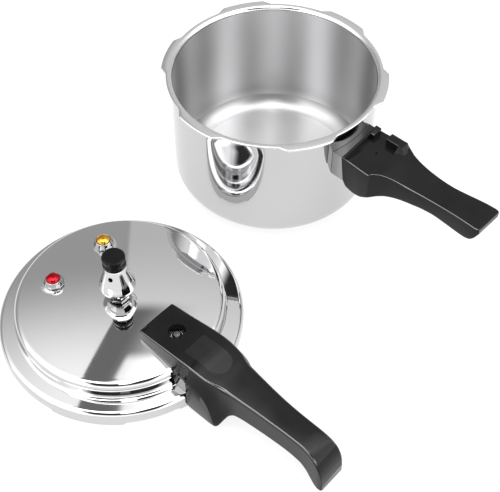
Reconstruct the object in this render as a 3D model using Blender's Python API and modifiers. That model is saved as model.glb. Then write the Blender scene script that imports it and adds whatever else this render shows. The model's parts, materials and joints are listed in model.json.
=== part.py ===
"""Stovetop pressure cooker: an open pot with its lid lying beside it, as separate named pieces.

Frame: metres, +Z up. The origin is the centre of the pot's flat underside, and +X runs along the pot's
handle. The lid lies on the same surface, in front of the pot, on its own skirt. Sizes below are in
millimetres and are turned into metres by MM.
"""

import math

import bmesh
import bpy

MM = 0.001
GAP = 0.3  # clearance between pieces that touch in the real object

# Pot
POT_INNER_R = 100.0
POT_WALL = 2.2
POT_FLOOR = 3.5
POT_CORNER_R = 22.2
RIM_TOP = 131.5
RIM_THICK = 2.2
RIM_ROUND = 4.0
RIM_R = 106.5
POT_LUG_R = 111.4
POT_LUG_HALF = 11.5  # degrees, at the lug's outer edge
POT_LUG_ROOT = 15.0  # degrees, where its sloped ends meet the rim

# Lid, in its own frame: z = 0 is the lower edge of the skirt
LID_X, LID_Y, LID_TURN = 35.4, -246.5, 1.5
LID_SHEET = 1.8
DOME_TOP = 40.4
DOME_SAG = 5.1
PLATE_R = 91.2
EDGE_R = 5.8
RISER_FOOT_R = 96.2
LEDGE_Z = 16.2
LID_R = 114.0
SHOULDER_R = 5.0
LID_LUG_R = 107.5
LID_LUG_THICK = 2.0
LID_LUG_HALF = 12.0
LID_LUG_ROOT = 13.5
LUG_COUNT = 6

# Valves and vent on the lid
VALVE_RADIUS = 62.5
VALVE_SPREAD = 30.0  # degrees either side of the line opposite the handle
SEAT_TOP = 38.7
SEAT_BOTTOM = 34.9
SEAT_R = 10.6
STEM_HOLE_R = 5.4
STEM_R = 5.0
HANDLE_SCREW_X = 74.8
GRIP_SCREW_X = 122.0
SCREW_R = 2.5
SCREW_HOLE_R = 2.9

# Pot handle
BRACKET_HALF = 26.5
BRACKET_SHEET = 1.5
BRACKET_LEAN = 0.136
BRACKET_FRONT = 109.6
BRACKET_BOTTOM, BRACKET_TOP = 79.0, 107.2
HANDLE_TOP = 107.8
POT_SCREW_X = 132.0
TONGUE_BOTTOM, TONGUE_TOP = 92.0, 94.0


def start_scene():
    for obj in list(bpy.data.objects):
        bpy.data.objects.remove(obj, do_unlink=True)
    parts = bpy.data.collections.new("stovetop_pressure_cooker")
    cutters = bpy.data.collections.new("cutters")
    bpy.context.scene.collection.children.link(parts)
    bpy.context.scene.collection.children.link(cutters)
    return parts, cutters


PARTS, CUTTERS = start_scene()


def make_material(name, colour, roughness, metallic):
    material = bpy.data.materials.new(name)
    material.use_nodes = True
    shader = material.node_tree.nodes["Principled BSDF"]
    shader.inputs["Base Color"].default_value = (*colour, 1.0)
    shader.inputs["Roughness"].default_value = roughness
    shader.inputs["Metallic"].default_value = metallic
    material.diffuse_color = (*colour, 1.0)
    return material


ALUMINIUM = make_material("polished_aluminium", (0.80, 0.81, 0.82), 0.12, 1.0)
CHROME = make_material("chrome", (0.86, 0.87, 0.88), 0.06, 1.0)
STEEL = make_material("steel", (0.62, 0.62, 0.63), 0.28, 1.0)
BAKELITE = make_material("black_bakelite", (0.012, 0.012, 0.013), 0.22, 0.0)
BRASS = make_material("brass", (0.72, 0.52, 0.22), 0.25, 1.0)
GOLD = make_material("gold_cap", (0.86, 0.52, 0.12), 0.16, 1.0)
RED = make_material("red_cap", (0.62, 0.02, 0.04), 0.14, 0.0)
SILICONE = make_material("grey_silicone", (0.34, 0.34, 0.35), 0.55, 0.0)
RUBBER = make_material("black_rubber", (0.02, 0.02, 0.02), 0.6, 0.0)


def make_frame(name, x, y, turn):
    frame = bpy.data.objects.new(name, None)
    frame.location = (x * MM, y * MM, 0.0)
    frame.rotation_euler = (0.0, 0.0, math.radians(turn))
    PARTS.objects.link(frame)
    return frame


POT_FRAME = make_frame("pot_frame", 0.0, 0.0, 0.0)
LID_FRAME = make_frame("lid_frame", LID_X, LID_Y, LID_TURN)


def place(obj, frame, at=(0.0, 0.0, 0.0), turn=0.0):
    obj.parent = frame
    obj.location = [c * MM for c in at]
    obj.rotation_euler = (0.0, 0.0, math.radians(turn))
    return obj


def mesh_object(name, bm, material, collection=None):
    """An object from a bmesh that is in millimetres. Cutters have no material."""
    bmesh.ops.scale(bm, vec=(MM, MM, MM), verts=bm.verts)
    mesh = bpy.data.meshes.new(name)
    bm.to_mesh(mesh)
    bm.free()
    obj = bpy.data.objects.new(name, mesh)
    if material is None:
        CUTTERS.objects.link(obj)
        obj.hide_render = True
        obj.display_type = "WIRE"
    else:
        mesh.materials.append(material)
        (collection or PARTS).objects.link(obj)
    return obj


def smooth(obj, angle=35.0):
    obj.data.shade_smooth()
    obj.data.set_sharp_from_angle(angle=math.radians(angle))
    return obj


def turned(name, profile, material, segments=32, closed=False):
    """A profile of (radius, z) points turned about Z. It runs down the outer side, top to bottom."""
    bm = bmesh.new()
    points = [bm.verts.new((r, 0.0, z)) for r, z in profile]
    for a, b in zip(points, points[1:]):
        bm.edges.new((a, b))
    if closed:
        bm.edges.new((points[-1], points[0]))
    obj = mesh_object(name, bm, material)
    screw = obj.modifiers.new("Turn", "SCREW")
    screw.steps = screw.render_steps = segments
    screw.use_merge_vertices = True
    screw.merge_threshold = 0.00001
    screw.use_smooth_shade = True
    return obj


def ring(name, inner, outer, low, high, material, segments=20):
    corners = [(outer, high), (outer, low), (inner, low), (inner, high)]
    return turned(name, corners, material, segments, closed=True)


def hull(name, points, material=None):
    """The convex body round the points."""
    bm = bmesh.new()
    for point in points:
        bm.verts.new(point)
    made = bmesh.ops.convex_hull(bm, input=bm.verts)
    bmesh.ops.delete(bm, geom=[v for v in made["geom_interior"] if isinstance(v, bmesh.types.BMVert)], context="VERTS")
    bmesh.ops.recalc_face_normals(bm, faces=bm.faces)
    return mesh_object(name, bm, material)


def box(name, low, high, material=None):
    bm = bmesh.new()
    bmesh.ops.create_cube(bm, size=1.0)
    size = [b - a for a, b in zip(low, high)]
    middle = [(a + b) / 2 for a, b in zip(low, high)]
    bmesh.ops.scale(bm, vec=size, verts=bm.verts)
    bmesh.ops.translate(bm, vec=middle, verts=bm.verts)
    return mesh_object(name, bm, material)


def rod(name, radius, low, high, material=None, segments=24, top_radius=None):
    """An upright cylinder or cone from z = low to z = high."""
    bm = bmesh.new()
    bmesh.ops.create_cone(
        bm,
        cap_ends=True,
        segments=segments,
        radius1=radius,
        radius2=radius if top_radius is None else top_radius,
        depth=high - low,
    )
    bmesh.ops.translate(bm, vec=(0.0, 0.0, (low + high) / 2), verts=bm.verts)
    return mesh_object(name, bm, material)


def combine(obj, other, operation="DIFFERENCE"):
    modifier = obj.modifiers.new(other.name, "BOOLEAN")
    modifier.operation = operation
    modifier.solver = "EXACT"
    modifier.object = other
    return obj


def arc(centre, radius, start, end, steps):
    """Points (r, z) on an arc between two angles in degrees, both ends included."""
    found = []
    for i in range(steps + 1):
        angle = math.radians(start + (end - start) * i / steps)
        found.append((centre[0] + radius * math.cos(angle), centre[1] + radius * math.sin(angle)))
    return found


def swept_round(name, section_at, angles, material):
    """A closed surface round Z whose (r, z) section changes with the angle. It starts and ends on Z."""
    bm = bmesh.new()
    first = section_at(angles[0])
    top = bm.verts.new((0.0, 0.0, first[0][1]))
    bottom = bm.verts.new((0.0, 0.0, first[-1][1]))
    columns = []
    for angle in angles:
        turn = math.radians(angle)
        columns.append(
            [bm.verts.new((r * math.cos(turn), r * math.sin(turn), z)) for r, z in section_at(angle)[1:-1]]
        )
    for here, there in zip(columns, columns[1:] + columns[:1]):
        bm.faces.new((top, here[0], there[0]))
        bm.faces.new((bottom, there[-1], here[-1]))
        for i in range(len(here) - 1):
            bm.faces.new((here[i], here[i + 1], there[i + 1], there[i]))
    bmesh.ops.recalc_face_normals(bm, faces=bm.faces)
    return smooth(mesh_object(name, bm, material))


def loft(name, sections, material):
    """A closed body through sections with the same number of points, capped at both ends."""
    bm = bmesh.new()
    rings = [[bm.verts.new(point) for point in section] for section in sections]
    for here, there in zip(rings, rings[1:]):
        for i in range(len(here)):
            j = (i + 1) % len(here)
            bm.faces.new((here[i], here[j], there[j], there[i]))
    bm.faces.new(rings[0])
    bm.faces.new(rings[-1][::-1])
    bmesh.ops.recalc_face_normals(bm, faces=bm.faces)
    return smooth(mesh_object(name, bm, material))


def lug_share(angle, half, root):
    """1 on a lug, 0 between lugs, and a slope in between. Lugs stand at 30, 90, 150 degrees and so on."""
    pitch = 360.0 / LUG_COUNT
    away = abs((angle - pitch / 2 + pitch / 2) % pitch - pitch / 2)
    return min(1.0, max(0.0, (root - away) / (root - half)))


def lug_angles(half, root):
    """Angles round the rim that fall on every lug's corners."""
    pitch = 360.0 / LUG_COUNT
    edge = pitch / 2 - root
    corner = pitch / 2 - half
    step = [0.0, edge * 0.5, edge, corner, (corner + pitch / 2) / 2, pitch / 2]
    step += [pitch - a for a in step[-2:0:-1]]
    return [k * pitch + a for k in range(LUG_COUNT) for a in step]


def mix(a, b, share):
    return a + (b - a) * share


# ---------------------------------------------------------------- pot


def pot_section(angle):
    share = lug_share(angle, POT_LUG_HALF, POT_LUG_ROOT)
    edge = mix(RIM_R, POT_LUG_R, share)
    outer = POT_INNER_R + POT_WALL
    inner_corner = POT_CORNER_R - POT_WALL
    flange = RIM_TOP - RIM_THICK
    section = [(0.0, POT_FLOOR)]
    section += arc((POT_INNER_R - inner_corner, POT_FLOOR + inner_corner), inner_corner, -90, 0, 4)
    section += arc((POT_INNER_R + RIM_ROUND, RIM_TOP - RIM_ROUND), RIM_ROUND, 180, 90, 3)
    section += [(edge - 0.4, RIM_TOP), (edge, RIM_TOP - 0.4), (edge, flange)]
    section += [(outer + 0.8, flange), (outer, flange - 0.8)]
    section += arc((outer - POT_CORNER_R, POT_CORNER_R), POT_CORNER_R, 0, -90, 4)
    return section + [(0.0, 0.0)]


def make_pot_body():
    pot = swept_round("pot_body", pot_section, lug_angles(POT_LUG_HALF, POT_LUG_ROOT), ALUMINIUM)
    place(pot, POT_FRAME)
    for i, (angle, height) in enumerate(RIVETS):
        hole = rod(f"pot_rivet_hole_{i + 1}", 2.7, -4.0, 4.0, segments=16)
        lay_radially(hole, angle, height, POT_INNER_R + POT_WALL / 2)
        combine(pot, hole)
    return pot


RIVETS = ((-9.0, 100.0), (0.0, 88.0), (9.0, 100.0))
RIVET_SHANK = 2.4
RIVET_HEAD = 4.2


def lay_radially(obj, angle, height, radius):
    """Turns a piece whose axis is Z so that it points out of the wall."""
    turn = math.radians(angle)
    obj.parent = POT_FRAME
    obj.location = (radius * math.cos(turn) * MM, radius * math.sin(turn) * MM, height * MM)
    obj.rotation_euler = (0.0, math.pi / 2, turn)


def make_rivets():
    inside = -POT_WALL / 2 - GAP
    outside = POT_WALL / 2 + GAP + BRACKET_SHEET + GAP + 0.1
    profile = [(0.0, outside + 1.5), (2.6, outside + 1.4), (RIVET_HEAD, outside + 0.5), (RIVET_HEAD, outside)]
    profile += [(RIVET_SHANK, outside), (RIVET_SHANK, inside), (RIVET_HEAD, inside)]
    profile += [(RIVET_HEAD, inside - 0.5), (2.6, inside - 1.4), (0.0, inside - 1.5)]
    for i, (angle, height) in enumerate(RIVETS):
        rivet = turned(f"pot_rivet_{i + 1}", profile, STEEL, 12)
        lay_radially(rivet, angle, height, POT_INNER_R + POT_WALL / 2)


def make_pot_bracket():
    """A folded steel bracket: a curved back plate on the wall, two cheeks, a top, a front and a tongue."""
    back = POT_INNER_R + POT_WALL + GAP
    half, sheet, front = BRACKET_HALF, BRACKET_SHEET, BRACKET_FRONT
    bracket = box("pot_bracket", (92.0, -half, BRACKET_BOTTOM), (front, half, BRACKET_TOP), CHROME)
    inside = half - sheet
    hollow = box("bracket_hollow", (80.0, -inside, 70.0), (front - sheet, inside, BRACKET_TOP - sheet))
    # the front leans outwards towards its foot, as the handle's rear face does
    for solid in (bracket, hollow):
        for vertex in solid.data.vertices:
            if vertex.co.x > 100.0 * MM:
                vertex.co.x += BRACKET_LEAN * (BRACKET_TOP * MM - vertex.co.z)
    plate = rod("bracket_back_plate", back + sheet + 0.1, BRACKET_BOTTOM, BRACKET_TOP - 3.0, segments=120)
    keep = box("bracket_plate_keep", (85.0, -half + 0.1, 60.0), (120.0, half - 0.1, 130.0))
    combine(plate, keep, "INTERSECT")
    tongue = box("bracket_tongue", (front + 1.2, -9.0, TONGUE_BOTTOM), (139.0, 9.0, TONGUE_TOP))
    tongue_hole = rod("bracket_tongue_hole", SCREW_HOLE_R, 85.0, 100.0, segments=20)
    wall = rod("bracket_wall", back, 60.0, 130.0, segments=120)
    for cutter in (hollow, plate, keep, tongue, wall):
        place(cutter, POT_FRAME)
    place(tongue_hole, POT_FRAME, (POT_SCREW_X, 0.0, 0.0))
    place(bracket, POT_FRAME)
    combine(bracket, hollow)
    combine(bracket, plate, "UNION")
    combine(bracket, wall)
    combine(bracket, tongue, "UNION")
    combine(bracket, tongue_hole)
    for i, (angle, height) in enumerate(RIVETS):
        hole = rod(f"bracket_rivet_hole_{i + 1}", 2.8, -3.0, 3.6, segments=16)
        lay_radially(hole, angle, height, back + sheet / 2)
        combine(bracket, hole)
    smooth(bracket, 20.0)


POT_HANDLE = (  # x, half width, z of the top, z of the underside, lean of the station: how far its foot lies beyond its top
    (109.9, 26.7, 107.8, 77.0, 4.5),
    (113.0, 26.9, 107.8, 72.4, 5.0),
    (124.0, 27.4, 107.8, 70.8, 3.0),
    (134.0, 28.1, 107.8, 72.2, 0.0),
    (143.2, 28.4, 107.8, 77.2, 0.0),
    (144.6, 28.1, 110.2, 78.1, 0.0),
    (147.5, 26.4, 110.9, 79.6, 0.0),
    (152.0, 23.7, 111.1, 81.8, 0.0),
    (160.0, 20.1, 110.2, 84.6, 0.0),
    (172.0, 17.4, 108.8, 87.0, 0.0),
    (185.0, 15.7, 108.0, 88.7, 0.0),
    (197.0, 14.6, 107.9, 89.9, 0.0),
    (209.0, 14.2, 108.2, 90.6, 0.0),
    (220.0, 14.5, 109.1, 90.3, 0.0),
    (233.0, 15.3, 110.3, 90.0, 0.0),
    (243.0, 16.0, 110.9, 90.3, 0.0),
    (249.0, 16.3, 111.0, 92.4, 0.0),
    (253.0, 16.4, 111.0, 96.8, 0.0),
    (255.6, 16.0, 110.9, 101.8, 0.0),
    (257.0, 14.8, 110.7, 104.6, 0.0),
)


def pot_handle_section(x, half, top, low, lean):
    """An upright section with rounded upper edges and a softly rounded underside."""
    edge, belly = 1.2, min(2.6, (top - low) / 3)
    side = [(0.0, top), (half - edge, top), (half - 0.4, top - 0.5), (half, top - edge)]
    side += [(half, low + belly), (half - belly * 0.3, low + belly * 0.3), (half - belly, low)]
    outline = side + [(-y, z) for y, z in side[:0:-1]]
    outline.insert(len(side), (0.0, low))
    return [(x + lean * (top - z) / (top - low), y, z) for y, z in outline]


SHOULDER = [(143.6, 14.9, 114.95), (147.2, 14.9, 114.95), (147.2, 24.3, 114.95), (143.6, 24.3, 114.95)]
SHOULDER += [(143.6, 4.5, 106.0), (160.0, 8.0, 106.0), (153.5, 21.5, 106.0), (143.6, 24.3, 106.0)]
SHORT_EAR = [(x, y, z) for x in (110.1, 116.5) for y, high in ((12.5, 113.0), (23.4, 114.6)) for z in (105.0, high)]
RIB = [(x, y, z) for x in (110.1, 112.4) for y, high in ((-25.9, 107.9), (23.4, 114.6)) for z in (105.0, high)]


def make_pot_handle():
    handle = loft("pot_handle", [pot_handle_section(*station) for station in POT_HANDLE], BAKELITE)
    place(handle, POT_FRAME)
    long_ear = box("handle_long_ear", (128.6, 15.0, HANDLE_TOP - 3.0), (145.2, 24.4, 115.0))
    # the long ear runs down into the handle's back
    shoulder = hull("handle_shoulder", SHOULDER)
    short_ear = hull("handle_short_ear", SHORT_EAR)
    # a low rib along the head's rear edge rises to the short ear
    rib = hull("handle_rib", RIB)
    slot = box("handle_tongue_slot", (100.0, -9.4, TONGUE_BOTTOM - 0.4), (139.5, 9.4, TONGUE_TOP + 0.4))
    bore = rod("handle_screw_bore", SCREW_HOLE_R, 60.0, 95.0, segments=20)
    counterbore = rod("handle_counterbore", 5.4, 60.0, 86.0, segments=24)
    insert_bore = rod("handle_insert_bore", 4.0, TONGUE_TOP - 0.5, 103.6, segments=20)
    mark = rod("handle_gate_mark", 1.1, HANDLE_TOP - 1.2, HANDLE_TOP + 3.0, segments=12)
    for cutter in (long_ear, shoulder, short_ear, rib, slot):
        place(cutter, POT_FRAME)
    for cutter in (bore, counterbore, insert_bore):
        place(cutter, POT_FRAME, (POT_SCREW_X, 0.0, 0.0))
    place(mark, POT_FRAME, (130.4, -0.4, 0.0))
    for raised in (long_ear, shoulder, short_ear, rib):
        combine(handle, raised, "UNION")
    for cutter in (slot, bore, counterbore, insert_bore, mark):
        combine(handle, cutter)


def make_screw(name, frame, at, head_low, tip, length_up, material=STEEL):
    """A pan-head screw. Its head is 4.6 mm in radius; the shaft goes up when length_up is true."""
    head_r, head_h = 4.6, 2.9
    if length_up:
        profile = [(0.0, tip), (SCREW_R - 0.5, tip), (SCREW_R, tip - 0.8), (SCREW_R, head_low + head_h)]
        profile += [(head_r, head_low + head_h), (head_r, head_low + 1.1), (3.2, head_low), (0.0, head_low)]
    else:
        profile = [(0.0, head_low + head_h), (3.0, head_low + head_h - 0.3), (head_r, head_low + 1.2)]
        profile += [(head_r, head_low), (SCREW_R, head_low), (SCREW_R, tip + 0.8), (SCREW_R - 0.5, tip)]
        profile += [(0.0, tip)]
    return place(turned(name, profile, material, 16), frame, at)


def make_pot_handle_fixings():
    at = (POT_SCREW_X, 0.0, 0.0)
    make_screw("pot_handle_screw", POT_FRAME, at, 81.4, 102.2, True)
    place(ring("pot_handle_washer", SCREW_HOLE_R, 5.0, 84.6, 85.7, STEEL, 16), POT_FRAME, at)
    place(ring("pot_handle_insert", SCREW_HOLE_R, 3.7, 94.8, 103.0, BRASS, 16), POT_FRAME, at)


# ---------------------------------------------------------------- lid


def dome(radius):
    return DOME_TOP - DOME_SAG * (radius / PLATE_R) ** 2


def lid_outside(offset=0.0):
    """The lid's outer line from the middle of the top down to the skirt, moved out by offset."""
    line = [(0.0, dome(0.0) + offset)]
    line += [(r, dome(r) + offset) for r in (30.0, 60.0, PLATE_R - 1.0)]
    line += arc((PLATE_R, dome(PLATE_R) - EDGE_R), EDGE_R + offset, 70, 0, 3)
    line += [(PLATE_R + EDGE_R - 0.3 + offset, 26.6), (RISER_FOOT_R + 0.1 + offset, LEDGE_Z + 3.0)]
    line += [(RISER_FOOT_R + 0.6 + offset, LEDGE_Z + 0.9 + offset), (RISER_FOOT_R + 2.4, LEDGE_Z + offset)]
    line += arc((LID_R - SHOULDER_R, LEDGE_Z - 0.6 - SHOULDER_R), SHOULDER_R + offset, 90, 0, 3)
    return line


def lid_section(angle):
    share = lug_share(angle, LID_LUG_HALF, LID_LUG_ROOT)
    skirt = LID_R - LID_SHEET
    under = LEDGE_Z - 0.6 - LID_SHEET
    inner = mix(skirt, LID_LUG_R, share)
    line = lid_outside()
    line += [(LID_R, 4.6), (mix(LID_R, LID_R - 0.7, share), 1.8), (mix(LID_R, LID_R - 2.4, share), 0.0)]
    line += [(inner, 0.0), (inner, LID_LUG_THICK), (skirt, LID_LUG_THICK + 0.1)]
    line += arc((skirt - 3.0, under - 3.0), 3.0, 0, 90, 2)
    line += [(RISER_FOOT_R - LID_SHEET + 0.5, under + 0.6), (RISER_FOOT_R - LID_SHEET, under + 2.0)]
    line += [(PLATE_R + 3.7, 26.6)]
    line += arc((PLATE_R, dome(PLATE_R) - EDGE_R), EDGE_R - LID_SHEET, 10, 80, 2)
    line += [(r, dome(r) - LID_SHEET) for r in (60.0, 30.0)]
    return line + [(0.0, dome(0.0) - LID_SHEET)]


def valve_place(side):
    """Where a valve stands: side is +1 or -1, either side of the line opposite the handle."""
    turn = math.radians(180.0 - side * VALVE_SPREAD)
    return (VALVE_RADIUS * math.cos(turn), VALVE_RADIUS * math.sin(turn), 0.0)


GOLD_AT = valve_place(1)
RED_AT = valve_place(-1)


def make_lid_shell():
    lid = swept_round("lid_shell", lid_section, lug_angles(LID_LUG_HALF, LID_LUG_ROOT), ALUMINIUM)
    place(lid, LID_FRAME)
    for name, at in (("gold", GOLD_AT), ("red", RED_AT)):
        seat = rod(f"{name}_valve_seat", SEAT_R, SEAT_BOTTOM, SEAT_TOP, segments=32)
        combine(lid, place(seat, LID_FRAME, at), "UNION")
    for name, at, radius in (
        ("gold", GOLD_AT, STEM_HOLE_R),
        ("red", RED_AT, STEM_HOLE_R),
        ("vent", (0.0, 0.0, 0.0), STEM_HOLE_R),
        ("handle", (HANDLE_SCREW_X, 0.0, 0.0), SCREW_HOLE_R),
    ):
        hole = rod(f"lid_{name}_hole", radius, 20.0, 60.0, segments=24)
        combine(lid, place(hole, LID_FRAME, at))


def make_sealing_ring():
    """The gasket that lies inside the skirt, under the ledge, and seals on the pot's rim."""
    outer = LID_R - LID_SHEET - GAP - 0.1
    line = [(108.6, 13.4), (110.5, 12.5), (outer, 9.6), (outer, 4.9), (104.6, 4.9), (103.4, 6.4)]
    line += [(100.8, 6.4), (98.2, 5.6), (98.2, 12.8), (99.1, 13.4)]
    place(turned("sealing_ring", line, SILICONE, 48, closed=True), LID_FRAME)


def lid_cutter(name, offset):
    """The lid's outside moved out a little, as a solid, to trim what lies on it."""
    line = lid_outside(offset) + [(LID_R + offset, -5.0), (0.0, -5.0)]
    return place(turned(name, line, None, 96), LID_FRAME)


LID_BRACKET_TOP = 34.0
LID_TONGUE_BOTTOM, LID_TONGUE_TOP = 28.0, 29.6


def make_lid_bracket():
    """A folded steel bracket on the ledge: a foot, two cheeks, a front and a tongue under the handle."""
    half, front, sheet = 24.2, 112.4, 1.6
    bracket = box("lid_bracket", (90.0, -half, LEDGE_Z), (front, half, LID_BRACKET_TOP), CHROME)
    hollow = box("lid_bracket_hollow", (80.0, -half + sheet, LEDGE_Z + 2.2), (front - sheet, half - sheet, 50.0))
    trim = lid_cutter("lid_bracket_trim", GAP + 0.1)
    tongue = box("lid_bracket_tongue", (front - 1.0, -9.0, LID_TONGUE_BOTTOM), (129.0, 9.0, LID_TONGUE_TOP))
    hole = rod("lid_bracket_hole", SCREW_HOLE_R, 20.0, 40.0, segments=20)
    for piece in (bracket, hollow, tongue):
        place(piece, LID_FRAME)
    place(hole, LID_FRAME, (GRIP_SCREW_X, 0.0, 0.0))
    combine(bracket, hollow)
    combine(bracket, trim)
    combine(bracket, tongue, "UNION")
    combine(bracket, hole)


LID_HANDLE = (
    # x, z top, half width at the top, at the waist, at the foot, z waist, z foot's upper edge, z underside
    (49.0, 48.9, 19.4, 20.0, 20.2, 44.0, 40.0, 34.0),
    (51.0, 49.5, 20.3, 20.8, 21.0, 44.0, 40.0, 33.8),
    (75.0, 52.1, 21.0, 21.6, 21.9, 45.0, 40.0, 33.6),
    (94.0, 54.3, 21.7, 22.4, 23.0, 46.0, 40.0, 34.8),
    (108.5, 55.7, 22.1, 23.4, 25.6, 44.0, 37.0, 34.8),
    (111.4, 55.8, 22.1, 23.8, 28.0, 42.0, 25.0, 3.2),
    (113.0, 55.8, 22.1, 23.8, 28.2, 42.0, 25.0, 2.4),
    (128.0, 54.4, 21.4, 23.2, 28.2, 40.0, 24.0, 2.4),
    (141.0, 52.7, 19.2, 21.4, 28.0, 38.0, 23.0, 2.4),
    (146.0, 52.0, 18.0, 20.0, 26.8, 37.0, 22.0, 3.6),
    (149.5, 51.6, 17.4, 18.4, 22.0, 36.0, 25.0, 13.0),
    (154.0, 51.2, 16.6, 17.0, 17.6, 36.0, 29.0, 20.0),
    (162.0, 50.5, 15.6, 15.7, 15.6, 36.0, 30.0, 22.0),
    (178.0, 49.3, 14.0, 14.0, 13.6, 36.0, 30.0, 22.1),
    (195.0, 48.3, 12.8, 12.8, 12.4, 36.0, 30.0, 22.2),
    (212.0, 47.9, 12.1, 12.1, 11.7, 36.0, 30.0, 22.3),
    (226.0, 47.5, 12.0, 12.0, 11.6, 36.0, 29.0, 20.6),
    (234.0, 46.5, 12.3, 12.4, 12.0, 34.0, 26.0, 16.0),
    (240.0, 44.1, 12.9, 13.0, 12.7, 31.0, 21.0, 9.6),
    (245.0, 39.5, 13.5, 13.7, 13.5, 27.0, 16.0, 5.4),
    (249.0, 32.5, 13.8, 14.2, 14.2, 21.0, 11.0, 4.4),
    (251.6, 22.9, 13.8, 14.2, 14.2, 15.0, 9.0, 4.4),
    (253.0, 13.5, 13.0, 13.4, 13.4, 10.0, 7.6, 5.0),
)


def lid_handle_section(x, top, half, waist, foot, waist_z, foot_z, low):
    edge = min(1.8, (top - waist_z) / 2)
    side = [(0.0, top + 0.6), (half * 0.6, top + 0.3), (half - edge, top - 0.3), (half, top - edge)]
    side += [(waist, waist_z), ((waist + foot) / 2 - 0.2, (waist_z + foot_z) / 2), (foot, foot_z)]
    side += [(foot, low + 1.0), (foot - 1.2, low)]
    outline = side + [(0.0, low)] + [(-y, z) for y, z in side[:0:-1]]
    return [(x, y, z) for y, z in outline]


def make_lid_handle():
    handle = loft("lid_handle", [lid_handle_section(*station) for station in LID_HANDLE], BAKELITE)
    place(handle, LID_FRAME)
    well = box("handle_well", (112.4 + GAP, -24.4, -5.0), (136.0, 24.4, 30.0))
    over = box("handle_over_bracket", (60.0, -24.2 - GAP, 8.0), (112.4 + 2 * GAP, 24.2 + GAP, LID_BRACKET_TOP + GAP))
    boss = rod("handle_boss", 7.0, LID_TONGUE_TOP + GAP, 32.0, segments=24)
    trim = lid_cutter("handle_trim", GAP + 0.2)
    for cutter in (well, over):
        place(cutter, LID_FRAME)
    place(boss, LID_FRAME, (GRIP_SCREW_X, 0.0, 0.0))
    combine(handle, well)
    combine(handle, over)
    combine(handle, trim)
    combine(handle, boss, "UNION")
    grip_at = (GRIP_SCREW_X, 0.0, 0.0)
    screw_at = (HANDLE_SCREW_X, 0.0, 0.0)
    for name, at, radius, low, high, wide in (
        ("handle_grip_insert_bore", grip_at, 4.0, 25.0, 45.0, None),
        ("handle_top_recess", screw_at, 6.2, 43.5, 60.0, None),
        ("handle_top_countersink", screw_at, 6.0, 48.4, 52.4, 8.4),
        ("handle_top_bore", screw_at, SCREW_HOLE_R, 30.0, 44.0, None),
    ):
        combine(handle, place(rod(name, radius, low, high, segments=24, top_radius=wide), LID_FRAME, at))


def hex_nut(name, at, low, high, across, hole, material):
    """A hexagonal nut; across is the distance between its flats."""
    nut = rod(name, across / math.sqrt(3.0), low, high, material, segments=6)
    place(nut, LID_FRAME, at)
    return combine(nut, place(rod(f"{name}_hole", hole, low - 2.0, high + 2.0, segments=24), LID_FRAME, at))


def make_lid_handle_fixings():
    screw_at = (HANDLE_SCREW_X, 0.0, 0.0)
    grip_at = (GRIP_SCREW_X, 0.0, 0.0)
    make_screw("lid_handle_screw", LID_FRAME, screw_at, 44.9, 26.6, False, CHROME)
    place(ring("lid_handle_washer", SCREW_HOLE_R, 5.6, 43.8, 44.6, STEEL, 16), LID_FRAME, screw_at)
    place(ring("lid_handle_seal", SCREW_HOLE_R, 5.8, 33.0, 34.2, SILICONE, 16), LID_FRAME, screw_at)
    hex_nut("lid_handle_nut", screw_at, 28.4, 32.7, 10.0, 2.8, STEEL)
    make_screw("lid_grip_screw", LID_FRAME, grip_at, 24.6, 43.0, True)
    place(ring("lid_grip_insert", SCREW_HOLE_R, 3.7, 32.6, 44.4, BRASS, 16), LID_FRAME, grip_at)


# ---------------------------------------------------------------- vent, ball and weight

BALL_R = 3.0
BALL_Z = 52.1


def make_vent():
    line = [(2.5, 50.2), (3.4, 50.2), (4.2, 48.6), (4.2, 45.2), (STEM_R, 45.1), (STEM_R, 28.6)]
    line += [(1.6, 28.6), (1.6, 49.2)]
    pipe = turned("vent_pipe", line, CHROME, 20, closed=True)
    place(pipe, LID_FRAME)
    flange = rod("vent_hex_flange", 16.0 / math.sqrt(3.0), 41.7, 45.3, segments=6)
    combine(pipe, place(flange, LID_FRAME), "UNION")
    combine(pipe, place(rod("vent_bore", 1.7, 20.0, 49.0, segments=20), LID_FRAME))
    place(ring("vent_gasket", STEM_HOLE_R, 7.8, 40.7, 41.4, RUBBER), LID_FRAME)
    place(ring("vent_washer", STEM_HOLE_R, 8.4, 36.8, 38.2, RUBBER), LID_FRAME)
    hex_nut("vent_nut", (0.0, 0.0, 0.0), 32.0, 36.5, 15.0, 5.3, STEEL)
    bm = bmesh.new()
    bmesh.ops.create_uvsphere(bm, u_segments=16, v_segments=8, radius=BALL_R)
    ball = smooth(mesh_object("vent_ball", bm, STEEL), 60.0)
    place(ball, LID_FRAME, (0.0, 0.0, BALL_Z))


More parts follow.
